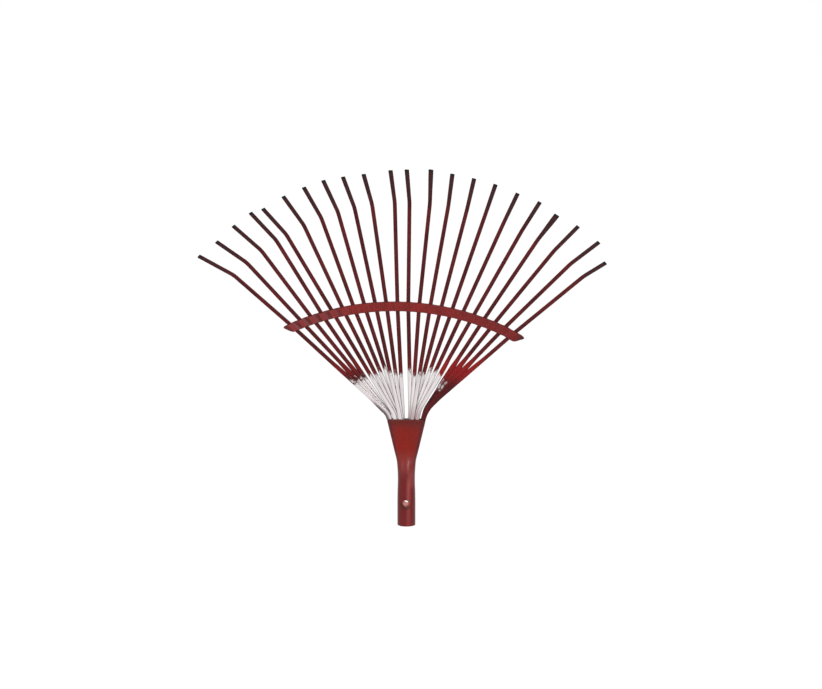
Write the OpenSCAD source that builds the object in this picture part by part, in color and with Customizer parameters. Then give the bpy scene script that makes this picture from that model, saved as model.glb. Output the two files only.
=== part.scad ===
/* [Socket] */
// Outside diameter of the round barrel that takes the handle
barrel_d = 23.4; // [22:0.2:26]
// Thickness of the socket's sheet steel
socket_wall = 1.2; // [0.8:0.1:1.6]
// Length of the straight barrel, up from the open end
barrel_len = 38; // [30:1:45]
// Outside diameter at the waist, where the barrel is narrowest
waist_d = 21.8; // [20:0.2:22]
// Height of the waist above the open end
waist_z = 64; // [55:1:68]
// Height from which the round stretch is pressed flat
press_z = 68; // [66:1:74]
// Height at which the pressed stretch reaches its flat depth
flat_z = 98; // [94:1:104]
// Width across the pressed stretch at that height, as a round of this diameter
flare_d = 26; // [24:0.5:28]
// Height at which the fishtail's width is taken
neck_z = 86; // [84:1:88]
// Width between the fishtail's straight sides at that height
neck_w = 25; // [24.5:0.5:26]
// Height of the fishtail's mouth above the open end
mouth_z = 141; // [136:1:146]
// Outside width of the mouth
mouth_w = 51; // [49:0.2:56]
// Inside radius along the four long corners of the flat stretch
corner_r = 0.5; // [0.2:0.1:0.5]
// Diameter of the hole through both walls for the handle's screw
screw_d = 8; // [4:0.5:9]
// Height of that hole above the open end
screw_z = 31; // [15:1:32]

/* [Tines] */
// Width of the flat spring steel strip
tine_w = 5.2; // [4.4:0.1:5.2]
// Thickness of the strip
tine_t = 1.6; // [1.2:0.1:2]
// Height of the strips' lower ends inside the fishtail
root_z = 110; // [109:1:116]
// Height at which the left half's strips bend outwards
left_bend_z = 148; // [147:1:152]
// Radius of those bends, on the strip's middle line
left_bend_r = 20; // [12:1:20]
// Height at which the right half's strips bend outwards
right_bend_z = 154; // [153:1:160]
// Radius of those bends
right_bend_r = 36; // [24:1:36]
// Height of the weld run under the strips' lower ends
weld_h = 3; // [2:0.5:4]
// Height from which the stacked strips come level with one another
level_z = 206; // [204:1:215]
// Radius of the circle on which the tips bend
tip_circle_r = 313; // [290:1:330]
// Height of that circle's centre
tip_circle_z = 115.5; // [105:0.5:125]
// How far that centre lies to the right of the socket's axis
tip_circle_x = 6; // [-10:0.5:10]
// Angle through which each tip is bent forwards
tip_angle = 42; // [20:1:60]
// Radius of the tip bend, on the strip's middle line
tip_bend_r = 16; // [8:1:25]
// Length of a tip from the corner of its bend to its end
tip_len = 71; // [40:1:90]
// How much shorter the last tine on the right is cut
last_cut = 16; // [0:1:20]

/* [Stay bar] */
// Radius of the bar's middle line
bar_r = 328; // [310:1:350]
// Height of the bar's middle above the socket's open end
bar_z = 290.5; // [285:0.5:296]
// How far the bar's middle lies to the right of the socket's axis
bar_x = -4.5; // [-8:0.5:8]
// Angle that the bar hangs down towards the right
bar_tilt = 0.9; // [-2:0.1:2]
// Distance from groove to groove along the bar
groove_pitch = 14; // [13.6:0.1:14.6]
// Height of the bar's strips
bar_h = 12.6; // [10:0.2:15]
// Thickness of the bar's sheet steel
bar_t = 1.2; // [0.8:0.1:1.6]
// Length of the pointed end beyond the first groove on the left
left_end = 8; // [5:0.5:12]
// Length of the blunter end beyond the last groove on the right
right_end = 11.5; // [5:0.5:14]
// Height of either end where it leaves the bar
bar_end_h = 12; // [8:0.5:12]
// Height of the left end just before its point
left_point_h = 3; // [2:0.5:5]
// Height of the right end just before its point
right_point_h = 5; // [3:0.5:7]
// Width of the sloping flank on each side of a groove
flank_w = 1.5; // [0.8:0.1:2]

/* [Fits] */
// Clearance between stacked strips
stack_gap = 0.05; // [0.02:0.01:0.1]
// Clearance between the stack and the mouth's flat walls
mouth_gap = 0.1; // [0.05:0.05:0.2]
// Clearance between the outer strips and the mouth's side walls
side_gap = 0.3; // [0.2:0.05:0.3]
// Gap between the outer stack and the tine fanned out beside it, at the mouth
fan_gap = 1.4; // [0.3:0.1:1.6]
// Gap between the two middle tines at the mouth
middle_gap = 3.6; // [2.4:0.2:4]
// Clearance between a tine and the flat of its groove in the bar
groove_gap = 0.05; // [0.02:0.01:0.1]
// Clearance between a tine's edges and its groove's flanks
groove_side_gap = 0.3; // [0.2:0.05:0.4]

/* [Hidden] */
// Fineness of round surfaces
$fn = 48;
// Longest step of a bend's outline in degrees
bend_step = 3;
// Overlap that keeps a cut clear of a face
eps = 0.01;

// Tines on the whole fan, tines to a stack, and stacks side by side in the mouth
TINES = 22;
HALF = TINES / 2;
STACK = 4;
STACKS = 6;
// Degrees that each tine is set round at the bar by hand, from left to right
SET_ANGLES = [
    -1, 0.5, 2, 2.25, 0.25, 1.75, 2.25, 1.75, 0.25, -0.5, 1.25,
    1.75, 2, 1.25, -0.25, -0.75, -0.5, -0.25, 1, 0.75, 1.75, 1.5
];
// Millimetres that each tip is longer or shorter than the usual length, from left to right
UNEVEN = [
    1, -3, 0, 2, -4, -1, 0, 1, -2, -4, -1,
    0, 3, 0, 0, 1, 0, 4, -2, 4, 6, 0
];

// Depth of the flat mouth, outside, from the stack that it holds
stack_pitch = tine_t + stack_gap;
mouth_inner_depth = (STACK - 1) * stack_pitch + tine_t + 2 * mouth_gap;
mouth_depth = mouth_inner_depth + 2 * socket_wall;
// Slope of the fishtail's sides, and that slope's angle from upright
side_slope = (mouth_w - neck_w) / 2 / (mouth_z - neck_z);
side_angle = atan(side_slope);

// Outer stack's middle line at height z, which runs parallel to the side wall
function stack_x(z) =
    neck_w / 2 + (z - neck_z) * side_slope - (socket_wall + side_gap + tine_w / 2) / cos(side_angle);

// Count of a tine from its own side's outer tine, its stack, and its layer from the front
function from_edge(i) = min(i, TINES - 1 - i);
function stack_of(i) = floor(from_edge(i) / STACK);
function layer_of(i) = from_edge(i) - STACK * stack_of(i);
function side_of(i) = i < HALF ? -1 : 1;
// Share of the outer stack's offset that a tine's own stack has, signed
function stack_share(i) = side_of(i) * (1 - 2 * stack_of(i) / (STACKS - 1));
function layer_y(i) = (layer_of(i) - (STACK - 1) / 2) * stack_pitch;

// Unit vectors along a heading and to its right, with headings measured from +Z towards +X
function ahead(a) = [sin(a), cos(a)];
function right_of(a) = [cos(a), -sin(a)];

// Stay bar: heading from its centre of curvature to a groove, and that groove's point
groove_step = groove_pitch / bar_r * 180 / PI;
bar_centre = [bar_x, bar_z] - bar_r * ahead(bar_tilt);
function groove_angle(i) = bar_tilt + (i - (TINES - 1) / 2) * groove_step;
function groove_point(i) = bar_centre + bar_r * ahead(groove_angle(i));

// Groove that a strip is pressed into over each tine: half its width, its depth, and half the lump outside it
groove_half_w = tine_w / 2 + groove_side_gap;
groove_depth = tine_t / 2 + groove_gap;
lump_half_w = groove_half_w + bar_t;

// Long edge of the bar at radius r: a chord over each groove, with its corners halfway between grooves
end_step = (lump_half_w + flank_w) / bar_r * 180 / PI;
function corner_angle(k) =
    k == 0 ? groove_angle(0) - end_step
    : k == TINES ? groove_angle(TINES - 1) + end_step
    : groove_angle(k - 0.5);
function bar_edge(r) = [for (k = [0 : TINES]) bar_centre + r * ahead(corner_angle(k))];

// Distance from the middle to a tine's middle line at the mouth: the outer stack keeps to the side
// wall, and the other tines are fanned like a hand of cards from beside it to the middle gap
fan_outer_x = stack_x(mouth_z) - tine_w / cos(side_angle) - fan_gap;
fan_inner_x = (tine_w + middle_gap) / 2;
function fan_share(i) = (from_edge(i) - STACK) / (HALF - 1 - STACK);
function mouth_x(i) =
    from_edge(i) < STACK ? stack_x(mouth_z) : fan_outer_x + (fan_inner_x - fan_outer_x) * fan_share(i);

// Tine in the plane of the fan: root, heading in the mouth, bend, heading to the bar, heading beyond it
function root_point(i) = [stack_share(i) * stack_x(root_z), root_z];
function root_angle(i) = atan((side_of(i) * mouth_x(i) - root_point(i)[0]) / (mouth_z - root_z));
function bend_z(i) = i < HALF ? left_bend_z : right_bend_z;
function bend_r(i) = i < HALF ? left_bend_r : right_bend_r;
function bend_point(i) = root_point(i) + (bend_z(i) - root_z) / cos(root_angle(i)) * ahead(root_angle(i));
function run_angle(i) =
    let (d = groove_point(i) - bend_point(i))
    atan2(d[0], d[1]);
function out_angle(i) = run_angle(i) + SET_ANGLES[i];
function cross_angle(i) = (run_angle(i) + out_angle(i)) / 2;

// Distance from a tine's groove to the corner of its tip bend, along its outer heading
function tip_run(i) =
    let (
        d = groove_point(i) - [tip_circle_x, tip_circle_z],
        b = d * ahead(out_angle(i))
    )
    sqrt(b * b - d * d + tip_circle_r * tip_circle_r) - b;
function tip_length(i) = tip_len + UNEVEN[i] - (i == TINES - 1 ? last_cut : 0);

// Points of the base bend's middle line, each with its heading
function base_bend(i) =
    let (
        a0 = root_angle(i),
        a1 = run_angle(i),
        turn = a1 - a0,
        s = sign(turn),
        r = bend_r(i),
        start = bend_point(i) - r * tan(abs(turn) / 2) * ahead(a0),
        centre = start + s * r * right_of(a0),
        n = max(1, ceil(abs(turn) / bend_step))
    )
    [for (k = [0 : n]) let (a = a0 + turn * k / n) [centre - s * r * right_of(a), a]];

// One long edge of a tine's flat outline, from its root to past its tip: side is -1 left, 1 right
function flat_edge(i, side) =
    let (
        half = side * tine_w / 2,
        mid = cross_angle(i),
        far = groove_point(i) + (tip_run(i) + tip_length(i)) * ahead(out_angle(i))
    )
    concat(
        [root_point(i) + [half / cos(root_angle(i)), 0]],
        [for (p = base_bend(i)) p[0] + half * right_of(p[1])],
        [groove_point(i) + half / cos(out_angle(i) - mid) * right_of(mid)],
        [far + half * right_of(out_angle(i))]
    );

function reversed(list) = [for (k = [len(list) - 1 : -1 : 0]) list[k]];

// Middle line of a tine seen edge on: [distance past the bar, depth, angle bent forwards]
function edge_line(i) =
    let (
        level_run = (groove_point(i)[1] - level_z) / cos(run_angle(i)),
        bar_run = bar_h / 2 / cos(cross_angle(i) - groove_angle(i)) + tine_w / 2,
        bend_run = tip_run(i) - tip_bend_r * tan(tip_angle / 2),
        n = ceil(tip_angle / bend_step / 2),
        straight = tip_length(i) - tip_bend_r * tan(tip_angle / 2),
        end_s = bend_run + tip_bend_r * sin(tip_angle),
        end_y = -tip_bend_r * (1 - cos(tip_angle))
    )
    concat(
        [
            [-bar_r, layer_y(i), 0],
            [-level_run, layer_y(i), 0],
            [-bar_run, 0, 0]
        ],
        [
            for (k = [0 : n])
                let (a = tip_angle * k / n)
                [bend_run + tip_bend_r * sin(a), -tip_bend_r * (1 - cos(a)), a]
        ],
        [[end_s + straight * cos(tip_angle), end_y - straight * sin(tip_angle), tip_angle]]
    );

// One face of a tine seen edge on: side is -1 front, 1 back
function edge_face(i, side) =
    [for (p = edge_line(i)) [p[0], p[1]] + side * tine_t / 2 * [sin(p[2]), cos(p[2])]];

// Name of a tine's node, counted from the left
function tine_name(i) = str("tine_", i < 9 ? "0" : "", i + 1);

// Half of the fishtail's flat pocket: a long section with rounded corners, along one sloping side
module sloping_half(side, depth, inset) {
    reach = 2 * mouth_w;
    r = corner_r + socket_wall - inset;
    translate([side * neck_w / 2, 0, neck_z])
        rotate([0, side * side_angle, 0])
            linear_extrude(height = 2 * mouth_z, center = true)
                scale([-side, 1])
                    translate([inset, 0]) {
                        for (y = [r - depth / 2, depth / 2 - r])
                            translate([r, y])
                                circle(r = r);
                        translate([0, r - depth / 2])
                            square([reach, depth - 2 * r]);
                        translate([r, -depth / 2])
                            square([reach - r, depth]);
                    }
}

// Flat fishtail pocket, set in by a wall's thickness where its hollow is wanted
module pocket(inset) {
    depth = mouth_depth - 2 * inset;
    top = mouth_z + (inset > 0 ? eps : 0);
    intersection() {
        sloping_half(-1, depth, inset);
        sloping_half(1, depth, inset);
        translate([-mouth_w, -depth, press_z])
            cube([2 * mouth_w, 2 * depth, top - press_z]);
    }
}

// Round stretch above the waist, pressed between two sloping planes
module pressed_stretch(inset) {
    d_low = waist_d - 2 * inset;
    d_high = flare_d - 2 * inset;
    y_low = barrel_d;
    y_press = (waist_d + (flare_d - waist_d) * (press_z - waist_z) / (flat_z - waist_z)) / 2 - inset;
    y_high = mouth_depth / 2 - inset;
    intersection() {
        translate([0, 0, waist_z])
            cylinder(d1 = d_low, d2 = d_high, h = flat_z - waist_z);
        rotate([90, 0, 90])
            linear_extrude(height = 2 * flare_d, center = true)
                polygon([
                    [-y_low, waist_z - 1], [y_low, waist_z - 1], [y_low, press_z], [y_press, press_z],
                    [y_high, flat_z], [-y_high, flat_z], [-y_press, press_z], [-y_low, press_z]
                ]);
    }
}

// Socket's form, set in by a wall's thickness where its hollow is wanted
module socket_form(inset) {
    start = inset > 0 ? -eps : 0;
    translate([0, 0, start])
        cylinder(d = barrel_d - 2 * inset, h = barrel_len - start);
    translate([0, 0, barrel_len])
        cylinder(d1 = barrel_d - 2 * inset, d2 = waist_d - 2 * inset, h = waist_z - barrel_len);
    pressed_stretch(inset);
    pocket(inset);
}

// Rolled and pressed sheet socket: round for the handle, flat for the roots of the tines
module socket() {
    color("firebrick")
        difference() {
            socket_form(0);
            socket_form(socket_wall);
            translate([0, 0, screw_z])
                rotate([90, 0, 0])
                    cylinder(d = screw_d, h = 2 * barrel_d, center = true);
        }
}

// Weld run inside the fishtail that joins the lower ends of all the strips
module root_weld() {
    depth = mouth_inner_depth - 2 * mouth_gap;
    reach = tine_w / 2 / cos(side_angle);
    low_w = stack_x(root_z - weld_h) + reach;
    high_w = stack_x(root_z) + reach;
    color("dimgray")
        rotate([90, 0, 0])
            linear_extrude(height = depth, center = true)
                polygon([
                    [-low_w, root_z - weld_h], [low_w, root_z - weld_h],
                    [high_w, root_z], [-high_w, root_z]
                ]);
}

// Flat spring steel tine: its outline from the front, cut by its outline seen edge on
module tine(i) {
    reach = 2 * tip_len;
    color(from_edge(i) % 2 == 0 ? "maroon" : "brown")
        intersection() {
            rotate([90, 0, 0])
                linear_extrude(height = reach, center = true)
                    polygon(concat(flat_edge(i, -1), reversed(flat_edge(i, 1))));
            translate([groove_point(i)[0], 0, groove_point(i)[1]])
                rotate([0, out_angle(i) - 90, 0])
                    linear_extrude(height = bar_r, center = true)
                        polygon(concat(edge_face(i, -1), reversed(edge_face(i, 1))));
        }
}

// Plate of the bar's outline, from depth y0 to y1
module bar_plate(y0, y1) {
    translate([0, y1, 0])
        rotate([90, 0, 0])
            linear_extrude(height = y1 - y0)
                polygon(concat(bar_edge(bar_r - bar_h / 2), reversed(bar_edge(bar_r + bar_h / 2))));
}

// Prism across the bar along a tine's line, from a section of [across, depth] points
module along_tine(i, section) {
    translate([groove_point(i)[0], 0, groove_point(i)[1]])
        rotate([0, cross_angle(i), 0])
            linear_extrude(height = 3 * bar_h, center = true)
                polygon(section);
}

// Pointed end of a strip beyond the groove of tine i: side is -1 left, 1 right
module bar_point(i, side, length, point_h) {
    start = groove_half_w / 2;
    shoulder = groove_half_w + length;
    translate([groove_point(i)[0], 0, groove_point(i)[1]])
        rotate([0, groove_angle(i), 0])
            rotate([90, 0, 0])
                linear_extrude(height = bar_t)
                    polygon([
                        [side * start, -bar_end_h / 2],
                        [side * shoulder, -point_h / 2],
                        [side * (shoulder + point_h / 3), 0],
                        [side * shoulder, point_h / 2],
                        [side * start, bar_end_h / 2]
                    ]);
}

// Front strip of the bar, pressed over the tines and flat against the rear strip between them
module bar_strip() {
    face_y = -groove_depth - bar_t;
    difference() {
        union() {
            bar_plate(-bar_t, 0);
            intersection() {
                bar_plate(face_y, 0);
                union() {
                    for (i = [0 : TINES - 1])
                        along_tine(i, [
                            [-lump_half_w - flank_w, -bar_t], [-lump_half_w, face_y],
                            [lump_half_w, face_y], [lump_half_w + flank_w, -bar_t],
                            [lump_half_w + flank_w, -bar_t / 2], [-lump_half_w - flank_w, -bar_t / 2]
                        ]);
                }
            }
            bar_point(0, -1, left_end, left_point_h);
            bar_point(TINES - 1, 1, right_end, right_point_h);
        }
        for (i = [0 : TINES - 1])
            along_tine(i, [
                [-groove_half_w, -groove_depth], [groove_half_w, -groove_depth],
                [groove_half_w + flank_w / 2, eps], [-groove_half_w - flank_w / 2, eps]
            ]);
    }
}

module bar_front() {
    color("firebrick") bar_strip();
}

module bar_rear() {
    color("darkred") mirror([0, 1, 0]) bar_strip();
}

socket();
root_weld();
bar_front();
bar_rear();
for (i = [0 : TINES - 1])
    tine(i);
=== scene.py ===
"""Leaf rake head: detailed pieces, finishes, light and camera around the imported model."""
import math

import bpy
import numpy as np
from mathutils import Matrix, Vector


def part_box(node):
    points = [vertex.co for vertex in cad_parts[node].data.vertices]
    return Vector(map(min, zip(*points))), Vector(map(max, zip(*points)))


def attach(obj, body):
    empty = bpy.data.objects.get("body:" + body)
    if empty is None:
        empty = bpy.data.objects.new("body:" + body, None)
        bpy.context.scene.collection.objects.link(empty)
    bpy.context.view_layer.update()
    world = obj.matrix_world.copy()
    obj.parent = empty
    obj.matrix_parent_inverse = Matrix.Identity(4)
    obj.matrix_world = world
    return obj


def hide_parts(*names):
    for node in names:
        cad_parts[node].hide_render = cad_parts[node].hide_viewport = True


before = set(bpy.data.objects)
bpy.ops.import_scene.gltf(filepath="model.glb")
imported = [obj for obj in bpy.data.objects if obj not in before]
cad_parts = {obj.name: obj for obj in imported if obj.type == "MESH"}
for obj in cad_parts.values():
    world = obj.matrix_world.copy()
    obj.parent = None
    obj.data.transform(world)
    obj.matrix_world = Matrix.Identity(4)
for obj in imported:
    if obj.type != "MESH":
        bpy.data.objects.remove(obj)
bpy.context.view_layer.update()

# Lengths here are in millimetres, as the model's sizes are, and become metres when a mesh is made
MM = 0.001

# Socket
BARREL_R = 11.7
SOCKET_WALL = 1.2
BARREL_LEN = 38
WAIST_R = 10.9
WAIST_Z = 64
PRESS_Z = 68
FLAT_Z = 98
FLARE_R = 13
NECK_Z = 86
NECK_HALF_W = 12.5
MOUTH_Z = 141
MOUTH_HALF_W = 25.5
SCREW_R = 4
SCREW_Z = 31

# Tines, whose roots stand in stacks; each half's bend above the socket has a height and a radius
TINES = 22
HALF = TINES // 2
STACK = 4
STACKS = 6
TINE_W = 5.2
TINE_T = 1.6
ROOT_Z = 110
LEFT_BEND = (148, 20)
RIGHT_BEND = (154, 36)
LEVEL_Z = 206
TIP_CIRCLE = (6, 115.5)
TIP_CIRCLE_R = 313
TIP_ANGLE = math.radians(42)
TIP_BEND_R = 16
TIP_LEN = 71
LAST_CUT = 16
SET_ANGLES = np.radians([
    -1, 0.5, 2, 2.25, 0.25, 1.75, 2.25, 1.75, 0.25, -0.5, 1.25,
    1.75, 2, 1.25, -0.25, -0.75, -0.5, -0.25, 1, 0.75, 1.75, 1.5,
])
UNEVEN = [
    1, -3, 0, 2, -4, -1, 0, 1, -2, -4, -1,
    0, 3, 0, 0, 1, 0, 4, -2, 4, 6, 0,
]

# Height at which each tine's paint stops over bare steel; the four on the right are painted down
PAINT_STOPS = [189, 190, 192, 194, 197, 200, 204, 207, 202, 201, 199, 205, 201, 202, 201, 208, 204, 201]

# Stay bar
BAR_R = 328
BAR_MIDDLE = (-4.5, 290.5)
BAR_TILT = math.radians(0.9)
GROOVE_PITCH = 14
BAR_H = 12.6
BAR_T = 1.2
LEFT_END = 8
RIGHT_END = 11.5
LEFT_POINT_H = 3
RIGHT_POINT_H = 5
FLANK_W = 1.5

# Cut ends of the bar: distance past the last groove, rise of the lower edge, drop of the upper edge
LEFT_CUT = [
    (-3, 0, 0), (1, -0.5, 0), (6, 2.8, 0.2), (8.5, 6.3, 0.3), (11, 9.2, 0.7), (11.8, 10.6, 1.8),
]
RIGHT_CUT = [
    (-9, 0, 0), (0, -0.6, 0.9), (4, -1.3, 1.0), (8, 0.1, 0.8),
    (10, 2.5, 0.8), (13, 6, 1.2), (15.3, 7.9, 1.8), (16, 9.2, 3.2),
]

# Clearances
STACK_GAP = 0.05
MOUTH_GAP = 0.1
SIDE_GAP = 0.3
FAN_GAP = 1.4
MIDDLE_GAP = 3.6
GROOVE_GAP = 0.05
GROOVE_SIDE_GAP = 0.3

# Fine shape of the strips: rounding, spread tips, webs of thick paint, and bare speckles
STRIP_CORNER_R = 0.5
CUT_END_R = 0.9
CUT_END_THINNING = 0.3
TIP_SPREAD = 0.12
BEATEN_TIPS = {12: 0.1, 18: 0.36}
OUTER_PAINT = 1.5
LEFT_WEB = 0.55
RIGHT_WEB = 0.9
SPECKLED_TINES = (TINES - STACK, TINES - STACK + 1)
SPECKLE_Z = 185

# Fine shape of the bar: rounded ends, taller lumps towards the left, spot-weld marks
BAR_STEPS = 620
BAR_TIP_R = 1.6
LEFT_PART_START = 55
LEFT_PART_EASE = 50
LEFT_LUMP_RISE = 0.5
EDGE_DRAW = 0.7
FACE_POINTS = 19
WELD_DENT = 0.3
WELD_R = 0.5
WELD_EASE = 0.7
WELD_RIM_H = 0.08
WELD_RIM_R = 1.5
WELD_RIM_W = 0.3

# Fine shape of the socket: rounded mouth with filed corners, rolled seam, dish round the hole, and the size
# of the painted shade below the hole
SOCKET_COLUMNS = 384
SOCKET_STEP = 1.5
RIM_R = 0.35
FILED_W = 4.2
FILED_DROP = 2.6
FILED_FROM_Z = 118
WAIST_EASE = (-8, -4, 0, 4, 8)
MOUTH_CORNER_R = 3.2
SEAM_HALF_W = 0.45
SEAM_DEPTH = 0.7
SEAM_TOP_GAP = 6
DISH_DEPTH = 0.5
DISH_W = 1.3
HOLE_SHADE_R = 6.8
HOLE_SHADE_W = 2.2

# Sizes that follow from these
STACK_PITCH = TINE_T + STACK_GAP
MOUTH_HALF_DEPTH = ((STACK - 1) * STACK_PITCH + TINE_T) / 2 + MOUTH_GAP + SOCKET_WALL
SIDE_SLOPE = (MOUTH_HALF_W - NECK_HALF_W) / (MOUTH_Z - NECK_Z)
GROOVE_HALF_W = TINE_W / 2 + GROOVE_SIDE_GAP
GROOVE_DEPTH = TINE_T / 2 + GROOVE_GAP
LUMP_HALF_W = GROOVE_HALF_W + BAR_T
LAST_GROOVE = (TINES - 1) / 2 * GROOVE_PITCH


# Small maths

def ahead(a):
    """Unit vectors in the plane of the fan, (x, z), for headings a from upright towards the right."""
    return np.stack([np.sin(a), np.cos(a)], -1)


def right_of(a):
    """Unit vectors a quarter turn to the right of headings a."""
    return np.stack([np.cos(a), -np.sin(a)], -1)


def smooth(t):
    """Cubic ease from 0 to 1 as t goes from 0 to 1, flat outside."""
    t = np.clip(t, 0, 1)
    return t * t * (3 - 2 * t)


def soft_max(*values, p=14):
    """Largest of some positive arrays with its creases rounded, as a p-norm."""
    return sum(np.power(v, p) for v in values) ** (1 / p)


def rounded_box(cos, sin, half_w, half_d, r):
    """Distance from the middle of a rectangle with corner radius r to its outline, along (cos, sin).

    A direction meets the side wall, the face, or the corner's circle, whose crossing solves a quadratic.
    """
    cos, sin = np.abs(cos) + 1e-9, np.abs(sin) + 1e-9
    side, face = half_w / cos, half_d / sin
    x, y = half_w - r, half_d - r
    along = cos * x + sin * y
    corner = along + np.sqrt(np.maximum(along ** 2 - x ** 2 - y ** 2 + r ** 2, 0))
    return np.where(side * sin <= y, side, np.where(face * cos <= x, face, corner))


# Meshes

def grid_faces(rows, columns):
    """Quads of a grid whose last column joins its first."""
    r = np.arange(rows - 1)[:, None] * columns
    c = np.arange(columns)[None, :]
    n = (c + 1) % columns
    return np.stack([r + c, r + n, r + columns + n, r + columns + c], -1).reshape(-1, 4)


def make_mesh(name, points, faces, values):
    """Object from points in millimetres, a list of faces and per-point values, with its faces outwards."""
    points = points.reshape(-1, 3)
    quads = np.array([f for f in faces if len(f) == 4])
    corner = points[quads]
    area = np.cross(corner[:, 1], corner[:, 2]) + np.cross(corner[:, 2], corner[:, 3])
    if np.einsum("ij,ij->i", corner[:, 0], area).sum() < 0:
        faces = [f[::-1] for f in faces]
    mesh = bpy.data.meshes.new(name)
    mesh.from_pydata((points * MM).tolist(), [], [list(map(int, f)) for f in faces])
    for key, value in values.items():
        layer = mesh.attributes.new(key, "FLOAT", "POINT")
        layer.data.foreach_set("value", np.asarray(value, np.float32).reshape(-1))
    mesh.update()
    mesh.shade_smooth()
    piece = bpy.data.objects.new(name, mesh)
    bpy.context.scene.collection.objects.link(piece)
    return piece


def tube_piece(name, points, values):
    """Closed piece from a grid of rings: each row is one ring, and the first and last are capped."""
    rows, columns = points.shape[:2]
    faces = list(grid_faces(rows, columns))
    faces.append(np.arange(columns)[::-1])
    faces.append(np.arange(columns) + (rows - 1) * columns)
    return make_mesh(name, points, faces, values)


def finish_piece(piece, material, node):
    """Gives a piece its material and its place on the body, and hides the node that it stands for."""
    piece.data.materials.append(material)
    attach(piece, "root")
    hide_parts(node)


# Where the tines and the bar lie

def from_edge(i):
    """How many tines stand between tine i and the nearer edge of the fan."""
    return min(i, TINES - 1 - i)


def stack_x(z):
    """Distance from the middle to the outer stack's middle line at height z."""
    angle = math.atan(SIDE_SLOPE)
    return NECK_HALF_W + (z - NECK_Z) * SIDE_SLOPE - (SOCKET_WALL + SIDE_GAP + TINE_W / 2) / math.cos(angle)


def side_of(i):
    """-1 for a tine of the left half and 1 for one of the right."""
    return -1 if i < HALF else 1


def stack_share(i):
    """Share of the outer stack's offset that the root of tine i has, signed."""
    return side_of(i) * (1 - 2 * (from_edge(i) // STACK) / (STACKS - 1))


def mouth_x(i):
    """Offset of tine i at the mouth: outer stack by the side wall, the others fanned in to the middle."""
    e = from_edge(i)
    outer = stack_x(MOUTH_Z)
    fan_outer = outer - TINE_W / math.cos(math.atan(SIDE_SLOPE)) - FAN_GAP
    fan_inner = (TINE_W + MIDDLE_GAP) / 2
    share = (e - STACK) / (HALF - 1 - STACK)
    return side_of(i) * (outer if e < STACK else fan_outer + (fan_inner - fan_outer) * share)


def layer_y(i):
    """Depth of a tine in its stack, the outer tine at the front."""
    return (from_edge(i) % STACK - (STACK - 1) / 2) * STACK_PITCH


BAR_CENTRE = np.array(BAR_MIDDLE) - BAR_R * ahead(BAR_TILT)


def groove_angle(i):
    """Heading from the bar's centre of curvature to the groove of tine i."""
    return BAR_TILT + (i - (TINES - 1) / 2) * GROOVE_PITCH / BAR_R


def groove_point(i):
    """Point of the fan's plane where tine i crosses the bar's middle line."""
    return BAR_CENTRE + BAR_R * ahead(groove_angle(i))


def tine_course(i):
    """Corners and headings of tine i: root, base bend, groove, and the distance to its tip bend."""
    bend_z, bend_r = LEFT_BEND if i < HALF else RIGHT_BEND
    root = np.array([stack_share(i) * stack_x(ROOT_Z), ROOT_Z])
    root_heading = math.atan((mouth_x(i) - root[0]) / (MOUTH_Z - ROOT_Z))
    bend = root + (bend_z - ROOT_Z) / math.cos(root_heading) * ahead(root_heading)
    groove = groove_point(i)
    run_heading = math.atan2(*(groove - bend))
    out_heading = run_heading + SET_ANGLES[i]
    offset = groove - np.array(TIP_CIRCLE)
    along = offset @ ahead(out_heading)
    tip_run = math.sqrt(along ** 2 - offset @ offset + TIP_CIRCLE_R ** 2) - along
    return root, bend, bend_r, groove, root_heading, run_heading, out_heading, tip_run


def tine_line(i):
    """Middle line of tine i as points (x, y, z), with the heading at each.

    It runs straight up the socket, round the base bend, straight to the bar, straight on to the tip
    bend, forwards round it and straight to the end. Its depth eases from its layer to the bar's.
    """
    root, bend, bend_r, groove, a0, a1, a2, tip_run = tine_course(i)
    turn = a1 - a0
    reach = bend_r * math.tan(abs(turn) / 2)
    start = bend - reach * ahead(a0)
    end = bend + reach * ahead(a1)
    ease = np.linspace(0, 1, 14)
    side = math.copysign(1, turn)
    centre = start + side * bend_r * right_of(a0)
    arc_headings = a0 + turn * ease
    stretches = [
        (root + (start - root) * np.linspace(0, 1, 12, endpoint=False)[:, None], np.full(12, a0)),
        (centre - side * bend_r * right_of(arc_headings), arc_headings),
        (end + (groove - end) * np.linspace(0, 1, 61)[1:, None], np.full(60, a1)),
    ]
    flat = np.concatenate([s[0] for s in stretches])
    headings = np.concatenate([s[1] for s in stretches])
    ahead_of_groove = (flat - groove) @ ahead(a2)
    level_run = (groove[1] - LEVEL_Z) / math.cos(a1)
    bar_run = BAR_H / 2 + TINE_W / 2
    share = np.clip((ahead_of_groove + level_run) / (level_run - bar_run), 0, 1)
    depth = layer_y(i) * (1 - share)
    bend_run = tip_run - TIP_BEND_R * math.tan(TIP_ANGLE / 2)
    length = TIP_LEN + UNEVEN[i] - TIP_BEND_R * math.tan(TIP_ANGLE / 2)
    if i == TINES - 1:
        length -= LAST_CUT
    bent = TIP_ANGLE * np.linspace(0, 1, 15)[1:]
    tip = np.linspace(0, 1, 26)[1:] * length
    out_run = np.concatenate([
        bend_run * np.linspace(0, 1, 37)[1:],
        bend_run + TIP_BEND_R * np.sin(bent),
        bend_run + TIP_BEND_R * math.sin(TIP_ANGLE) + tip * math.cos(TIP_ANGLE),
    ])
    out_depth = np.concatenate([
        np.zeros(36),
        -TIP_BEND_R * (1 - np.cos(bent)),
        -TIP_BEND_R * (1 - math.cos(TIP_ANGLE)) - tip * math.sin(TIP_ANGLE),
    ])
    out = groove + out_run[:, None] * ahead(a2)
    flat = np.concatenate([flat, out])
    headings = np.concatenate([headings, np.full(len(out), a2)])
    depth = np.concatenate([depth, out_depth])
    return np.stack([flat[:, 0], depth, flat[:, 1]], -1), headings


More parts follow.
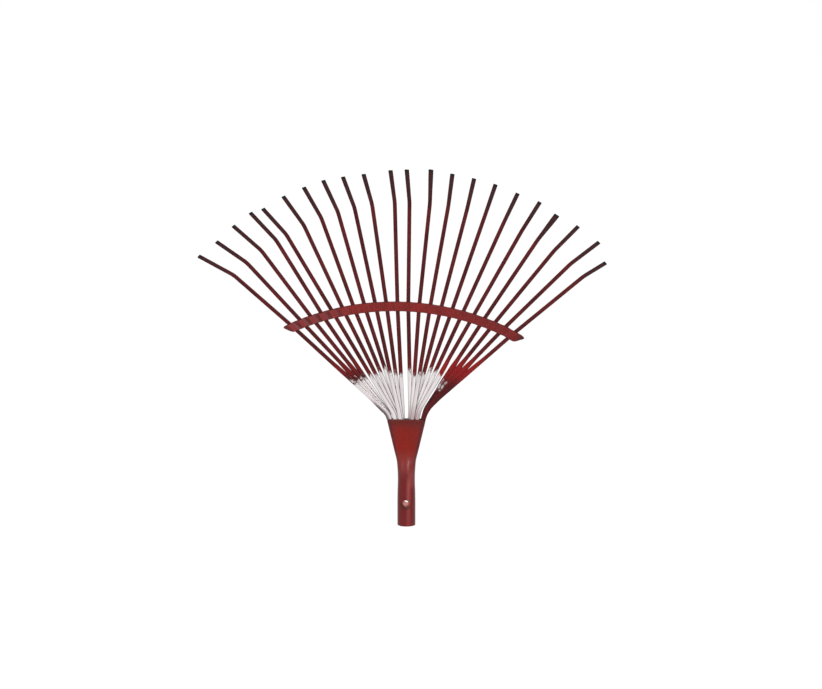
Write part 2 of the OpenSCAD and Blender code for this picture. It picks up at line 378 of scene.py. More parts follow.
def paint_line(i):
    """Height below which tine i is bare."""
    return PAINT_STOPS[i] if i < len(PAINT_STOPS) else 0


def band(z, low, low_ease, high, high_ease):
    """1 between two heights, eased to 0 below the lower and above the upper."""
    return smooth((z - low) / low_ease + 1) * (1 - smooth((z - high) / high_ease))


def thick_paint(i, z):
    """Share of thick bright paint on tine i at heights z: a run of it low on each outer cluster."""
    e = from_edge(i)
    if i < HALF:
        return (0.45 if e < STACK else 0.15) * band(z, 200, 12, 206, 18)
    return (0.95 if e <= STACK else 0.2) * band(z, 205, 22, 212, 22)


def paint_web(i, side, z):
    """How far paint reaches past an edge of tine i: into the fork with a neighbour, or built up outside."""
    pair = min(i, i + side)
    if pair in (-1, TINES - 1):
        return OUTER_PAINT * band(z, 142, 8, 152, 22)
    if 0 <= pair < STACK - 1:
        return LEFT_WEB * band(z, 192, 10, 204, 14)
    if TINES - 2 - STACK < pair < TINES - 1:
        return RIGHT_WEB * band(z, 190, 14, 208, 18)
    return 0 * z


def tip_flare(i):
    """Share by which the end of tine i is spread wider: most in the middle, and two beaten out."""
    return TIP_SPREAD * max(1 - abs(i - 11.5) / 10.5, 0) + BEATEN_TIPS.get(i, 0)


def strip_section():
    """Outline of the strip as (across, through), its corners rounded by arcs."""
    r = STRIP_CORNER_R
    w, t = TINE_W / 2, TINE_T / 2
    arc = np.linspace(0, math.pi / 2, 5)
    corner = np.stack([np.cos(arc), np.sin(arc)], -1) * r
    points = []
    for k, (x, y) in enumerate([(1, 1), (-1, 1), (-1, -1), (1, -1)]):
        turn = np.array([[math.cos(k * math.pi / 2), math.sin(k * math.pi / 2)],
                         [-math.sin(k * math.pi / 2), math.cos(k * math.pi / 2)]])
        points.append(corner @ turn + np.array([x * (w - r), y * (t - r)]))
        if k % 2 == 0:
            span = np.linspace(1, -1, 5)[1:-1] * (w - r) * (1 if k == 0 else -1)
            points.append(np.stack([span, np.full(3, t * y)], -1))
    return np.concatenate(points)


def tine(i, material):
    """Flat strip swept along its line: the section's width stays in the fan's plane, square to the line.

    The last stretch at each end narrows by a quarter round, so that the cut ends have soft corners.
    """
    line, headings = tine_line(i)
    gaps = np.linalg.norm(np.diff(line, axis=0), axis=1)
    run = np.concatenate([[0], np.cumsum(gaps)])
    near = CUT_END_R * np.array([0, 0.05, 0.2, 0.5, 1])
    between = run[(run > CUT_END_R) & (run < run[-1] - CUT_END_R)]
    stations = np.concatenate([near, between, run[-1] - near[::-1]])
    at = np.stack([np.interp(stations, run, line[:, k]) for k in range(3)], -1)
    heading = np.interp(stations, run, headings)
    forward = np.gradient(at, stations, axis=0)
    forward /= np.linalg.norm(forward, axis=1)[:, None]
    width = np.stack([np.cos(heading), np.zeros(len(heading)), -np.sin(heading)], -1)
    through = np.cross(forward, width)
    through /= np.linalg.norm(through, axis=1)[:, None]
    end = np.minimum(stations, run[-1] - stations).clip(0, CUT_END_R)
    inset = CUT_END_R - np.sqrt(CUT_END_R ** 2 - (CUT_END_R - end) ** 2)
    section = strip_section()
    spread = 1 - inset / (TINE_W / 2) + tip_flare(i) * smooth((stations - run[-1] + TIP_LEN) / TIP_LEN)
    webs = [paint_web(i, side, at[:, 2])[:, None] / (TINE_W / 2) for side in (-1, 1)]
    across = section[None, :, 0] * (spread[:, None] + np.where(section[None, :, 0] < 0, *webs))
    deep = section[None, :, 1] * (1 - inset / (TINE_T / 2) * CUT_END_THINNING)[:, None]
    points = at[:, None] + across[..., None] * width[:, None] + deep[..., None] * through[:, None]
    z = at[:, 2][:, None]
    above_line = np.repeat(z - paint_line(i), len(section), axis=1)
    if i in SPECKLED_TINES:
        above_line = np.minimum(above_line, np.abs(z - SPECKLE_Z) * 0.5 + 0.7)
    share_across = section[None, :, 0] / (TINE_W / 2) * np.ones(len(stations))[:, None]
    # The first tine darkens over its outer half low down, near the socket.
    dark_outer_edge = smooth((0.25 - share_across) / 0.5) * smooth((172 - z) / 14) * (i == 0)
    values = {
        "paint": above_line.ravel(),
        "thick": np.repeat(thick_paint(i, at[:, 2]), len(section)),
        "tip": np.repeat(run[-1] - stations, len(section)),
        "along": np.repeat(stations, len(section)),
        "across": share_across.ravel(),
        "dark_outer_edge": dark_outer_edge.ravel(),
        "number": np.full(points.shape[:2], i).ravel(),
    }
    piece = tube_piece(f"tine_{i + 1:02d}_strip", points, values)
    finish_piece(piece, material, f"tine_{i + 1:02d}")


# Stay bar

def bar_edges(s):
    """Heights of the bar's lower and upper edges over its middle line, at distance s along it."""
    low, high = np.full(s.shape, -BAR_H / 2), np.full(s.shape, BAR_H / 2)
    for past, cut in ((-s - LAST_GROOVE, LEFT_CUT), (s - LAST_GROOVE, RIGHT_CUT)):
        stops, rise, drop = np.array(cut, float).T
        low = low + np.interp(past, stops, rise)
        high = high - np.interp(past, stops, drop)
    return softened(low, 4), softened(high, 4)


def softened(values, reach):
    """Moving average over a few samples to each side, with the ends held."""
    width = 2 * reach + 1
    return np.convolve(np.pad(values, reach, mode="edge"), np.ones(width) / width, "valid")


def tine_distance(plane):
    """Distance in the fan's plane from points to the nearest tine's line, near the bar."""
    nearest = np.full(plane.shape[:-1], np.inf)
    for i in range(TINES):
        _, _, _, groove, _, run_heading, out_heading, _ = tine_course(i)
        crossing = (run_heading + out_heading) / 2
        nearest = np.minimum(nearest, np.abs((plane - groove) @ right_of(crossing)))
    return nearest


def bar_plane(s, v):
    """Points of the fan's plane at distance s along the bar's middle line and v above it."""
    return BAR_CENTRE + (BAR_R + v)[..., None] * ahead(BAR_TILT + s / BAR_R)


def pressed(distance, half_w, flank):
    """Share of full depth that the sheet is pressed to at a distance from a tine's line."""
    return 1 - smooth((distance - half_w) / flank)


def bar_strip(name, facing, material, node):
    """One pressed strip of the bar: its section, a closed loop through its thickness, carried along it.

    Each point is set off from the fan's plane by how near it is to a tine's line, so the sheet rises
    in a soft-edged lump over every tine and lies flat between them, with a spot weld in every flat.
    Towards the left end the lumps are higher, and they draw the sheet's edges in.
    """
    low_end = LAST_GROOVE + GROOVE_HALF_W + LEFT_END + LEFT_POINT_H / 3
    high_end = LAST_GROOVE + GROOVE_HALF_W + RIGHT_END + RIGHT_POINT_H / 3
    near = BAR_TIP_R * (1 - np.cos(np.linspace(0, math.pi / 2, 9)[:-1]))
    between_tips = np.linspace(BAR_TIP_R - low_end, high_end - BAR_TIP_R, BAR_STEPS)
    s = np.concatenate([near - low_end, between_tips, high_end - near[::-1]])
    from_tip = np.minimum(np.minimum(s + low_end, high_end - s) / BAR_TIP_R, 1)
    left = smooth((-s - LEFT_PART_START) / LEFT_PART_EASE)
    low, high = bar_edges(s)
    low = low + EDGE_DRAW * left * pressed(tine_distance(bar_plane(s, low)), 1.5, 3.5)
    high = high - EDGE_DRAW * left * pressed(tine_distance(bar_plane(s, high)), 1.5, 3.5)
    half = np.maximum((high - low) / 2 * np.sqrt(1 - (1 - from_tip) ** 2), 0.05)
    rim_r = BAR_T / 2
    flat = np.linspace(1, -1, FACE_POINTS)
    rim = np.linspace(0, math.pi, 9)[1:-1]
    zeros, ones = np.zeros(FACE_POINTS), np.ones(FACE_POINTS)
    v_share = np.concatenate([flat, np.full(len(rim), -1.0), flat[::-1], np.full(len(rim), 1.0)])
    v_extra = np.concatenate([zeros, -np.sin(rim), zeros, np.sin(rim)])
    through = np.concatenate([zeros, (1 - np.cos(rim)) / 2, ones, (1 + np.cos(rim)) / 2])
    inner_half = np.maximum(half - rim_r, 0.02)
    rim_size = np.minimum(half, rim_r)
    v = ((high + low) / 2)[:, None] + inner_half[:, None] * v_share + rim_size[:, None] * v_extra
    plane = bar_plane(s[:, None] + 0 * v, v)
    nearest = tine_distance(plane)
    softer = 0.3 + left[:, None]
    rise = GROOVE_DEPTH + LEFT_LUMP_RISE * left[:, None]
    outer = BAR_T + rise * pressed(nearest, LUMP_HALF_W - softer, FLANK_W + softer)
    inner = GROOVE_DEPTH * pressed(nearest, GROOVE_HALF_W, FLANK_W)
    between = (s + GROOVE_PITCH / 2 + LAST_GROOVE) % GROOVE_PITCH
    between = np.minimum(between, GROOVE_PITCH - between)
    weld = np.hypot(between[:, None], v)
    on_bar = (np.abs(s) < LAST_GROOVE)[:, None]
    dent = WELD_DENT * (1 - smooth((weld - WELD_R) / WELD_EASE))
    ring = WELD_RIM_H * np.exp(-((weld - WELD_RIM_R) / WELD_RIM_W) ** 2)
    outer = outer + on_bar * (ring - dent)
    y = facing * (outer * (1 - through) + inner * through)
    points = np.stack([plane[..., 0], y, plane[..., 1]], -1)
    values = {
        "edge": np.abs(v_share + 0 * v).ravel(),
        "lump": pressed(nearest, 1.0, 4.5).ravel(),
        "left": np.repeat(left, len(v_share)),
        "end": np.repeat(high_end - s, len(v_share)),
    }
    piece = tube_piece(name, points, values)
    finish_piece(piece, material, node)


# Socket

def socket_section(z, inset):
    """Points round the socket for a grid of heights z, one column per direction, set in by inset.

    Low down the section is a circle. From the waist up it changes by an eased share into the
    fishtail's rounded rectangle. The last value tells how near a point lies to the side walls.
    """
    columns = z.shape[1]
    q = np.arange(columns) * 2 * math.pi / columns
    tau = q + 0.7 * np.sin(4 * q) / 4
    share = smooth((z - PRESS_Z + 5) / (FLAT_Z - PRESS_Z + 6))
    heights, radii = [-1, BARREL_LEN, WAIST_Z, FLAT_Z], [BARREL_R, BARREL_R, WAIST_R, FLARE_R]
    barrel = sum(np.interp(z + lift, heights, radii) for lift in WAIST_EASE) / len(WAIST_EASE) - inset
    fishtail = np.maximum(NECK_HALF_W + (z - NECK_Z) * SIDE_SLOPE, 1)
    half_w = soft_max(barrel + inset, fishtail, p=40) - inset
    face = MOUTH_HALF_DEPTH - inset
    half_depth = barrel * (1 - share) + face * share
    cos, sin = half_w * np.cos(tau), half_depth * np.sin(tau)
    size = np.hypot(cos, sin)
    cos, sin = cos / size, sin / size
    box = rounded_box(cos, sin, half_w, face, MOUTH_CORNER_R - 1.55 * inset)
    radius = barrel * (1 - share) + box * share
    return radius * cos, radius * sin, np.abs(radius * cos) / half_w


def socket(material):
    """Sheet socket as a closed loop: up its outside, over the mouth's edge and down its inside.

    The mouth's corners are filed off, so its edge drops a little towards the side walls. The back has
    a rolled seam, and the sheet is dished in round the screw hole.
    """
    columns = SOCKET_COLUMNS
    z_in = np.arange(0, MOUTH_Z, SOCKET_STEP)[1:]
    z = np.concatenate([[0, RIM_R * 0.3], z_in, [MOUTH_Z - RIM_R * 0.3, MOUTH_Z]])
    edge = np.minimum(z, MOUTH_Z - z)
    rounding = (RIM_R - np.sqrt(RIM_R ** 2 - np.maximum(RIM_R - edge, 0) ** 2))[:, None]
    level = z[:, None] * np.ones(columns)
    near_side = smooth((np.abs(socket_section(level, 0)[0][-1]) - MOUTH_HALF_W + FILED_W) / FILED_W)
    drop = FILED_DROP * smooth((level - FILED_FROM_Z) / (MOUTH_Z - FILED_FROM_Z))
    level = level - drop * near_side ** 2
    out_x, out_y, out_side = socket_section(level, 0)
    reach = np.hypot(out_x, out_y)
    seam_ends = smooth((MOUTH_Z - SEAM_TOP_GAP - level) / 8) * smooth(level / 3)
    seam = SEAM_DEPTH * np.exp(-(out_x / SEAM_HALF_W) ** 2) * (out_y > 0) * seam_ends
    from_hole = np.hypot(out_x, level - SCREW_Z)
    dish = DISH_DEPTH * np.exp(-((from_hole - SCREW_R) / DISH_W) ** 2)
    # Crescent below and left of the screw hole, darkened in the finish: painted shade under the hole.
    below = np.clip(((SCREW_Z - level) - 0.4 * out_x) / np.maximum(from_hole, 1) + 0.2, 0, 1)
    hole_shade = np.exp(-((from_hole - HOLE_SHADE_R) / HOLE_SHADE_W) ** 2) * smooth(below) * (out_y < 0)
    hole_rim = 1 - smooth((from_hole - SCREW_R) / 0.7)
    shrink = 1 - (rounding + seam + dish) / reach
    outside = np.stack([out_x * shrink, out_y * shrink, level], -1)
    in_x, in_y, in_side = socket_section(level[::-1], SOCKET_WALL)
    grow = 1 + rounding[::-1] / np.hypot(in_x, in_y)
    # Soft patch on the inner back wall behind the screw hole, which the finish makes glow: painted light,
    # as if falling through the hole.
    lit = np.exp(-(np.hypot(in_x + 2, level[::-1] - SCREW_Z + 5) / 5) ** 2) * (in_y > 0)
    inside = np.stack([in_x * grow, in_y * grow, level[::-1]], -1)
    points = np.concatenate([outside, inside, outside[:1]])
    rows = len(points) - 1
    faces = grid_faces(rows + 1, columns) % (rows * columns)
    count = len(outside)
    values = {
        "rim": np.concatenate([hole_rim, 0 * hole_rim]).ravel(),
        "inner": np.repeat(np.r_[np.zeros(count), np.ones(count)], columns),
        "seam": np.concatenate([seam, 0 * seam]).ravel(),
        "side": np.concatenate([out_side, in_side]).ravel(),
        "hole_shade": np.concatenate([hole_shade, 0 * hole_shade]).ravel(),
        "lit": np.concatenate([0 * hole_shade, lit]).ravel(),
    }
    piece = make_mesh("socket_shell", points[:-1], list(faces), values)
    drill = cylinder_cutter("screw_hole_cutter", SCREW_R, 3 * BARREL_R, SCREW_Z)
    cut = piece.modifiers.new("hole", "BOOLEAN")
    cut.object = drill
    cut.operation = "DIFFERENCE"
    cut.solver = "EXACT"
    apply_modifiers(piece)
    bpy.data.objects.remove(drill)
    piece.data.shade_smooth()
    piece.data.set_sharp_from_angle(angle=math.radians(40))
    finish_piece(piece, material, "socket")


def cylinder_cutter(name, radius, half_length, z):
    """Round cutter along the front-to-back axis at height z."""
    turn = np.arange(96) * 2 * math.pi / 96
    ring = np.stack([radius * np.cos(turn), 0 * turn, z + radius * np.sin(turn)], -1)
    points = np.stack([ring + [0, y, 0] for y in (-half_length, half_length)])
    return tube_piece(name, points, {})


def apply_modifiers(piece):
    """Leaves the piece with its modifiers' result as its mesh."""
    graph = bpy.context.evaluated_depsgraph_get()
    mesh = bpy.data.meshes.new_from_object(piece.evaluated_get(graph))
    piece.modifiers.clear()
    old = piece.data
    piece.data = mesh
    bpy.data.meshes.remove(old)


# Weld run inside the fishtail

def root_weld(material):
    """Bead across the strips' lower ends: a rounded section carried across, swelling at each pass."""
    low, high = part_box("root_weld")
    low, high = np.array(low) / MM, np.array(high) / MM
    middle, half = (low + high) / 2, (high - low) / 2
    x = np.linspace(-1, 1, 161)
    turn = np.arange(28) * 2 * math.pi / 28
    end = np.sqrt(np.clip(1 - np.abs(x) ** 14, 0.002, 1))
    ripple = 1 - 0.10 * (0.5 + 0.5 * np.cos(x * half[0] * 2.6))
    section_y = np.sign(np.cos(turn)) * np.abs(np.cos(turn)) ** 0.45
    section_z = np.sign(np.sin(turn)) * np.abs(np.sin(turn)) ** 0.6
    size = (end * ripple)[:, None]
    points = np.stack([
        middle[0] + half[0] * x[:, None] * 0.97 + 0 * section_y,
        middle[1] + half[1] * size * section_y,
        middle[2] + half[2] * size * section_z,
    ], -1)
    piece = tube_piece("root_weld_bead", points, {})
    finish_piece(piece, material, "root_weld")


# Shader expressions

class Value:
    """A shader socket or number that works in Python expressions."""

    def __init__(self, graph, socket):
        self.graph = graph
        self.socket = socket

    def math(self, operation, *others, clamp=False):
        """Result of one maths node on this value and the others."""
        settings = {"operation": operation, "use_clamp": clamp}
        return self.graph.add("ShaderNodeMath", settings, [self, *others])

    def __add__(self, other):
        return self.math("ADD", other)

    def __radd__(self, other):
        return self.math("ADD", other)

    def __sub__(self, other):
        return self.math("SUBTRACT", other)

    def __rsub__(self, other):
        return self.graph.add("ShaderNodeMath", {"operation": "SUBTRACT"}, [other, self])

    def __mul__(self, other):
        return self.math("MULTIPLY", other)

    def __rmul__(self, other):
        return self.math("MULTIPLY", other)

    def clamped(self):
        """This value held between 0 and 1."""
        return self.math("ADD", 0.0, clamp=True)

    def above(self, low, high):
        """0 below low, 1 above high, eased between."""
        settings = {"interpolation_type": "SMOOTHSTEP"}
        inputs = {"Value": self, "From Min": low, "From Max": high}
        return self.graph.add("ShaderNodeMapRange", settings, inputs)


class Finish:
    """Node tree of one material, with a Principled shader at its end."""

    def __init__(self, name):
        self.material = bpy.data.materials.new(name)
        self.material.use_nodes = True
        self.tree = self.material.node_tree
        self.shader = self.tree.nodes["Principled BSDF"]
        self.place = self.add("ShaderNodeTexCoord", {}, {}, "Object")

    def add(self, kind, settings, inputs, output=0):
        """New node: its settings first, then its sockets' values or links; gives one output."""
        node = self.tree.nodes.new(kind)
        for key, value in settings.items():
            setattr(node, key, value)
        pairs = inputs.items() if isinstance(inputs, dict) else enumerate(inputs)
        for key, value in pairs:
            self.join(node.inputs[key], value)
        return Value(self, node.outputs[output])

    def join(self, socket, value):
        """Links a value to a socket, or sets the socket where the value is plain."""
        if isinstance(value, Value):
            self.tree.links.new(value.socket, socket)
        else:
            socket.default_value = value

    def set(self, **inputs):
        """Sets or links inputs of the Principled shader, named with underscores for spaces."""
        for key, value in inputs.items():
            self.join(self.shader.inputs[key.replace("_", " ")], value)

    def attribute(self, name):
        """A number stored at each point of the mesh."""
        return self.add("ShaderNodeAttribute", {"attribute_name": name}, {}, "Fac")

    def part(self, axis):
        """One coordinate of the piece, in metres."""
        return self.add("ShaderNodeSeparateXYZ", {}, [self.place], axis)

    def vector(self, x, y, z):
        """Three values as one vector."""
        return self.add("ShaderNodeCombineXYZ", {}, [x, y, z])

    def stretched(self, x, y, z):
        """The piece's own coordinates, scaled differently along each axis."""
        return self.add("ShaderNodeMapping", {}, {"Vector": self.place, "Scale": (x, y, z)})

    def noise(self, scale, detail=3.0, roughness=0.55, where=None):
        """Fractal noise from 0 to 1, on the piece's coordinates or on a given vector."""
        inputs = {"Vector": where or self.place, "Scale": scale, "Detail": detail, "Roughness": roughness}
        return self.add("ShaderNodeTexNoise", {}, inputs)

    def mix(self, share, a, b):
        """Colour a where share is 0 and b where it is 1."""
        node = self.tree.nodes.new("ShaderNodeMix")
        node.data_type = "RGBA"
        self.join(node.inputs[0], share)
        self.join(node.inputs[6], a)
        self.join(node.inputs[7], b)
        return Value(self, node.outputs[2])

    def bump(self, height, distance, strength):
        """Normal bent by a height that is worth a distance in metres."""
        inputs = {"Height": height, "Distance": distance, "Strength": strength}
        return self.add("ShaderNodeBump", {}, inputs)


def paint(red, green, blue):
    """Colour as it looks on a screen, from 0 to 255, turned into the shader's linear values."""
    def linear(c):
        """Linear value of one channel."""
        c /= 255
        return c / 12.92 if c <= 0.04045 else ((c + 0.055) / 1.055) ** 2.4
    return (linear(red), linear(green), linear(blue), 1.0)


# Finishes

def socket_enamel():
    """Red enamel over sheet: bright on the fishtail, duller on the barrel, dark inside; painted shade at
    the mouth, on the sides and under the screw hole, painted highlights on the barrel, and a glowing patch
    of painted light inside.
    """
    f = Finish("socket_enamel")
    height = f.part("Z")
    side = f.part("X")
    cloud = f.noise(45.0, 4.0)
    grain = f.noise(700.0, 2.0)
    base = f.mix(cloud.above(0.35, 0.7), paint(104, 20, 11), paint(121, 18, 7))
    # Greyer, darker paint away from the front's middle line: painted shade on the sides that turn from the
    # light.
    flank = (side * side).above(0.000016, 0.0003)
    base = f.mix(flank * 0.75, base, paint(104, 26, 26))
    low = 1 - height.above(0.06, 0.10)
    base = f.mix(low * 0.9, base, paint(93, 16, 17))
    # Lighter vertical line down the front of the barrel: a painted highlight.
    front = 1 - f.part("Y").above(-0.002, 0.002)
    off_line = ((side - 0.0036) * 1000.0).math("ABSOLUTE")
    highlight_streak = 1 - off_line.above(0.0, 4.2 + (cloud - 0.5) * 3.0)
    wear_and_highlight = highlight_streak * front * (1 - height.above(0.056, 0.070)) * (0.35 + height.above(0.0, 0.045) * 0.4)
    base = f.mix(wear_and_highlight, base, paint(136, 62, 60))
    base = f.mix(grain.above(0.45, 0.75) * 0.25, base, paint(84, 18, 16))
    # Dark bands along the side walls: painted shade.
    walls = f.attribute("side").above(0.68, 0.9) * (1 - low * 0.55)
    # Lighter patch on the right of the barrel below the waist: a painted highlight.
    cheek_highlight = side.above(0.002, 0.005) * height.above(0.048, 0.056) * (1 - height.above(0.066, 0.080))
    base = f.mix(cheek_highlight * front * 0.4, base, paint(136, 62, 60))
    base = f.mix(walls * 0.75, base, paint(74, 20, 24))
    # Darker band just below the mouth's edge: painted shade.
    mouth = height.above(0.122, 0.1395)
    base = f.mix(mouth * 0.7, base, paint(70, 24, 22))
    # Dark crescent under the screw hole: painted shade.
    base = f.mix(f.attribute("hole_shade") * 0.8, base, paint(52, 17, 10))
    scuff = f.noise(1.0, 5.0, 0.6, where=f.stretched(900, 900, 130))
    lines = scuff.above(0.68, 0.74)
    base = f.mix(lines * 0.06, base, paint(150, 74, 68))
    foot = 1 - height.above(0.0, 0.004)
    chips = f.noise(420.0, 3.0, 0.65).above(0.60, 0.63)
    rims = foot + height.above(0.1385, 0.1408) * 0.7 + f.attribute("rim")
    inner = f.attribute("inner").above(0.3, 0.7)
    bare = inner * (1 - height.above(0.098, 0.104))
    base = f.mix(inner * 0.7, base, paint(66, 17, 14))
    worn = (chips * rims.clamped() * (1 - inner)).clamped()
    seam = f.attribute("seam").above(0.15, 0.5)
    base = f.mix(seam * 0.7, base, paint(34, 10, 10))
    base = f.mix(worn, base, paint(110, 100, 94))
    f.set(Base_Color=f.mix(bare, base, paint(214, 176, 168)))
    f.set(Metallic=(worn * 0.8 + bare * 0.9).clamped())
    rough = 0.34 + cloud * 0.10 + lines * 0.1 + inner * 0.1
    f.set(Roughness=rough.clamped())
    peel = f.noise(1100.0, 2.0)
    f.set(Normal=f.bump(peel * 0.5 + cloud * 2.0 - worn * 1.5 - lines * 0.4, 0.00006, 0.6))
    round_part = 1 - height.above(0.088, 0.104)
    # The inner patch glows: painted light seen through the screw hole.
    lit = (f.attribute("lit") * inner).clamped()
    f.set(Emission_Color=f.mix(lit, (0.0, 0.0, 0.0, 1.0), (0.42, 0.19, 0.16, 1.0)))
    f.set(Emission_Strength=1.0)
    coat = round_part * (1 - inner) * (0.1 + height.above(0.060, 0.076) * 0.25)
    f.set(Specular_IOR_Level=0.16, Coat_Weight=coat.clamped(), Coat_Roughness=0.25)
    return f.material


def bar_enamel():
    """The same red on the stay bar, darker along its edges and dark at its right end, with painted shade
    towards the right and painted light and shade on the lumps.
    """
    f = Finish("bar_enamel")
    cloud = f.noise(60.0, 4.0)
    grain = f.noise(800.0, 2.0)
    base = f.mix(cloud.above(0.35, 0.7), paint(98, 19, 17), paint(113, 23, 20))
    # Lighter paint on the lumps' tops and darker between them, towards the left: painted light and shade on
    # the relief.
    lumps = f.mix(f.attribute("lump"), paint(82, 26, 26), paint(113, 39, 38))
    # Darker towards the right: painted shade.
    base = f.mix(f.part("X").above(0.02, 0.11) * 0.5, base, paint(88, 16, 16))
    base = f.mix(f.attribute("left") * 0.85, base, lumps)
    base = f.mix(grain.above(0.45, 0.75) * 0.2, base, paint(74, 20, 20))
    edge = f.attribute("edge").above(0.86, 1.0)
    base = f.mix(edge * 0.35, base, paint(66, 19, 19))
    end = 1 - f.attribute("end").above(2.0, 11.0)
    base = f.mix(end * 0.85, base, paint(46, 17, 18))
    wear_and_highlight = (f.noise(350.0, 4.0, 0.6).above(0.62, 0.66) * f.attribute("edge").above(0.9, 1.0)).clamped()
    f.set(Base_Color=f.mix(wear_and_highlight * 0.7, base, paint(104, 84, 80)))
    f.set(Metallic=wear_and_highlight * 0.6)
    f.set(Roughness=(0.4 + cloud * 0.12).clamped())
    f.set(Normal=f.bump(f.noise(1200.0, 2.0) * 0.5 + cloud * 2.0 - wear_and_highlight, 0.00006, 0.6))
    f.set(Specular_IOR_Level=0.2)
    return f.material


def tine_finish():
    """Thin dark red enamel that stops in an uneven line; bare drawn steel below it, painted shade on the
    bent tips and at the steel's edges, and dark worn cut ends.
    """
    f = Finish("tine_finish")
    line = f.attribute("paint")
    from_tip = f.attribute("tip")
    across = f.attribute("across")
    along = f.attribute("along")
    number = f.attribute("number")
    drawn = f.noise(1.0, 3.0, 0.5, where=f.vector(across * 3.5, along * 0.02, number * 5.1))
    run = f.noise(1.0, 3.0, 0.6, where=f.vector(across * 0.9, along * 0.16, number * 3.7))
    fine = f.noise(1.0, 4.0, 0.6, where=f.vector(across * 3.0, along * 0.5, number * 7.7))
    rim = (across * across).above(0.35, 1.0)
    coat = (line + (run - 0.5) * 24.0 + (fine - 0.5) * 12.0).above(-4.0, 4.0)
    cloud = f.noise(1.0, 3.0, where=f.vector(across * 0.4, along * 0.03, number * 2.3))
    dark = f.mix(cloud.above(0.3, 0.7), paint(58, 12, 14), paint(78, 18, 20))
    red = f.mix(f.attribute("thick"), dark, paint(116, 19, 20))
    fringe = (1 - line.above(2.0, 17.0)) * (1 - number.above(STACK - 0.6, STACK - 0.4))
    red = f.mix(fringe * 0.7, red, paint(60, 16, 20))
    # Darker over the last stretch towards the bent tips: painted shade on the faces that turn down.
    tip = 1 - from_tip.above(18.0, 92.0)
    red = f.mix(tip * 0.75, red, paint(44, 17, 20))
    worn_tip = 1 - from_tip.above(1.0, 7.0)
    red = f.mix(worn_tip * 0.85, red, paint(20, 13, 14))
    chipped = rim * f.noise(320.0, 4.0, 0.6).above(0.60, 0.66)
    red = f.mix(chipped * 0.35, red, paint(92, 58, 56))
    steel = f.mix(drawn.above(0.3, 0.75), paint(204, 196, 197), paint(234, 227, 226))
    # Steel darker low on the right half near the socket: painted shade.
    low_right = (1 - f.part("Z").above(0.141, 0.168)) * f.part("X").above(0.0, 0.006)
    steel = f.mix(low_right * 0.6, steel, paint(150, 112, 114))
    # Steel darker at the strips' edges: painted shade between the strips.
    steel = f.mix(rim * 0.85, steel, paint(88, 80, 82))
    # Darker, duller outer half of the first tine near the socket.
    dark_outer_edge = f.attribute("dark_outer_edge")
    f.set(Base_Color=f.mix(dark_outer_edge * 0.9, f.mix(coat, steel, red), paint(58, 40, 40)))
    f.set(Metallic=((1 - coat) * (1 - dark_outer_edge)).clamped())
    f.set(Roughness=(0.42 * coat + (1 - coat) * (0.3 + drawn * 0.12)).clamped())
    f.set(Normal=f.bump(f.noise(1300.0, 2.0) * 0.4 + coat * 0.8, 0.00005, 0.6))
    f.set(Specular_IOR_Level=0.12)
    return f.material


def weld_finish():
    """Weld metal: grey, blued by heat in patches and rough."""
    f = Finish("weld_finish")
    patches = f.noise(220.0, 4.0)
    f.set(Base_Color=f.mix(patches.above(0.4, 0.65), paint(96, 92, 90), paint(60, 58, 68)))
    f.set(Metallic=1.0, Roughness=(0.4 + patches * 0.25).clamped())
    f.set(Normal=f.bump(f.noise(900.0, 4.0), 0.0002, 0.8))
    return f.material


def floor_finish():
    """Pale floor that the camera sees close to white, with the object's shadow left faintly on it."""
    f = Finish("floor_finish")
    rays = f.tree.nodes.new("ShaderNodeLightPath")
    speckle = f.noise(6.0, 2.0)
    f.set(Base_Color=f.mix(speckle, (0.86, 0.86, 0.86, 1), (0.90, 0.90, 0.90, 1)), Roughness=0.9)
    white = f.tree.nodes.new("ShaderNodeEmission")
    white.inputs["Strength"].default_value = 1.02
    seen = Value(f, rays.outputs["Is Camera Ray"])
    mirrored = Value(f, rays.outputs["Is Glossy Ray"])
    share = (seen * 0.96 + mirrored).clamped()
    both = f.tree.nodes.new("ShaderNodeMixShader")
    f.join(both.inputs[0], share)
    f.tree.links.new(f.shader.outputs[0], both.inputs[1])
    f.tree.links.new(white.outputs[0], both.inputs[2])
    f.tree.links.new(both.outputs[0], f.tree.nodes["Material Output"].inputs["Surface"])
    return f.material


# Studio

def floor():
    """Wide flat floor a little below the socket's open end, so that light reaches up the barrel."""
    half, z = 40000, -45
    points = np.array([[-half, -half, z], [half, -half, z], [half, half, z], [-half, half, z]], float)
    mesh = bpy.data.meshes.new("floor")
    mesh.from_pydata((points * MM).tolist(), [], [(0, 1, 2, 3)])
    piece = bpy.data.objects.new("floor", mesh)
    bpy.context.scene.collection.objects.link(piece)
    mesh.materials.append(floor_finish())


def surroundings():
    """White world: full strength where the camera or a reflection sees it, weaker as light."""
    world = bpy.data.worlds.new("studio")
    bpy.context.scene.world = world
    world.use_nodes = True
    nodes, links = world.node_tree.nodes, world.node_tree.links
    rays = nodes.new("ShaderNodeLightPath")
    seen = nodes.new("ShaderNodeMath")
    seen.operation = "MAXIMUM"
    links.new(rays.outputs["Is Camera Ray"], seen.inputs[0])
    links.new(rays.outputs["Is Glossy Ray"], seen.inputs[1])
    strength = nodes.new("ShaderNodeMapRange")
    strength.inputs["To Min"].default_value = 0.45
    strength.inputs["To Max"].default_value = 1.0
    links.new(seen.outputs[0], strength.inputs["Value"])
    background = nodes["Background"]
    background.inputs["Color"].default_value = (1, 1, 1, 1)
    links.new(strength.outputs[0], background.inputs["Strength"])


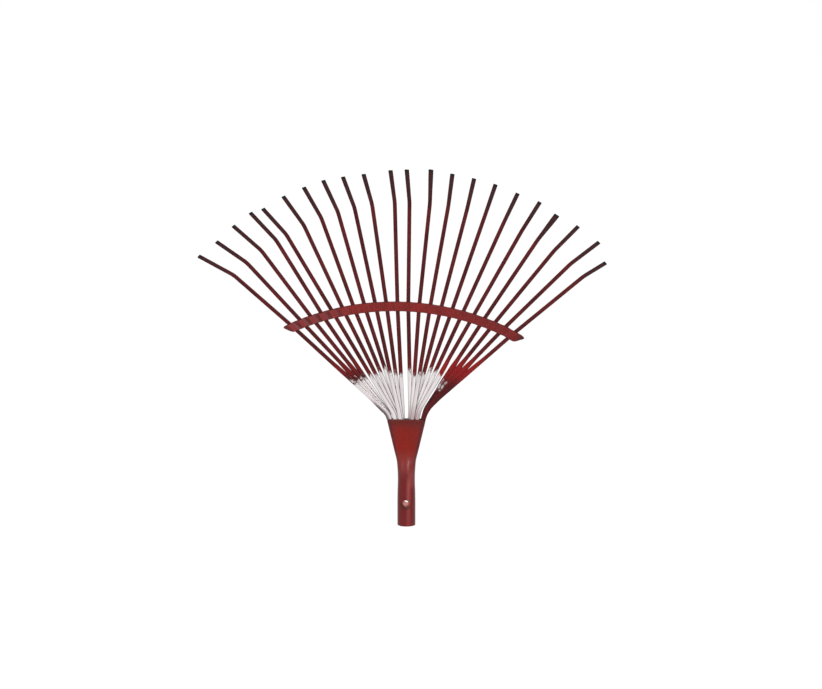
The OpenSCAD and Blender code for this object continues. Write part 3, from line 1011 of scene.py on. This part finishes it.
def softbox(name, azimuth, elevation, distance, width, height, power):
    """Area light aimed at the fan's middle from an azimuth and elevation in degrees."""
    a, e = math.radians(azimuth), math.radians(elevation)
    target = Vector((0, 0, 0.24))
    way = Vector((math.sin(a) * math.cos(e), -math.cos(a) * math.cos(e), math.sin(e)))
    light = bpy.data.lights.new(name, "AREA")
    light.shape = "RECTANGLE"
    light.size = width
    light.size_y = height
    light.energy = power
    lamp = bpy.data.objects.new(name, light)
    lamp.location = target + way * distance
    lamp.rotation_euler = way.to_track_quat("Z", "Y").to_euler()
    bpy.context.scene.collection.objects.link(lamp)


def camera():
    """Long lens at the photograph's angle, with the socket's axis and open end at their place in it."""
    width_px, height_px = 822, 689
    mm_per_px = 1.3
    axis_x_px, base_y_px = 406.4, 524.5
    azimuth, elevation = math.radians(5.0), math.radians(13.0)
    distance = 12.0
    way = Vector((math.sin(azimuth) * math.cos(elevation),
                  -math.cos(azimuth) * math.cos(elevation), math.sin(elevation)))
    across = Vector((math.cos(azimuth), math.sin(azimuth), 0))
    up = way.cross(across)
    frame_w = width_px * mm_per_px * MM
    target = across * (width_px / 2 - axis_x_px) * mm_per_px * MM
    target += up * (base_y_px - height_px / 2) * mm_per_px * MM
    lens = bpy.data.cameras.new("camera")
    lens.sensor_width = 36
    lens.lens = lens.sensor_width * distance / frame_w
    lens.clip_end = 200
    eye = bpy.data.objects.new("camera", lens)
    eye.location = target + way * distance
    eye.rotation_euler = way.to_track_quat("Z", "Y").to_euler()
    bpy.context.scene.collection.objects.link(eye)
    bpy.context.scene.camera = eye


def main():
    """Builds the studio and every piece."""
    bpy.context.scene.view_settings.view_transform = "Standard"
    camera()
    surroundings()
    softbox("key", azimuth=26, elevation=38, distance=2.6, width=1.3, height=1.3, power=45)
    softbox("fill", azimuth=-50, elevation=25, distance=3.0, width=2.2, height=2.2, power=26)
    softbox("glint", azimuth=24, elevation=16, distance=2.4, width=0.5, height=0.45, power=12)
    softbox("back", azimuth=195, elevation=30, distance=3.0, width=2.0, height=2.0, power=34)
    floor()
    socket(socket_enamel())
    steel = tine_finish()
    for i in range(TINES):
        tine(i, steel)
    enamel = bar_enamel()
    bar_strip("bar_front_strip", -1, enamel, "bar_front")
    bar_strip("bar_rear_strip", 1, enamel, "bar_rear")
    root_weld(weld_finish())


main()
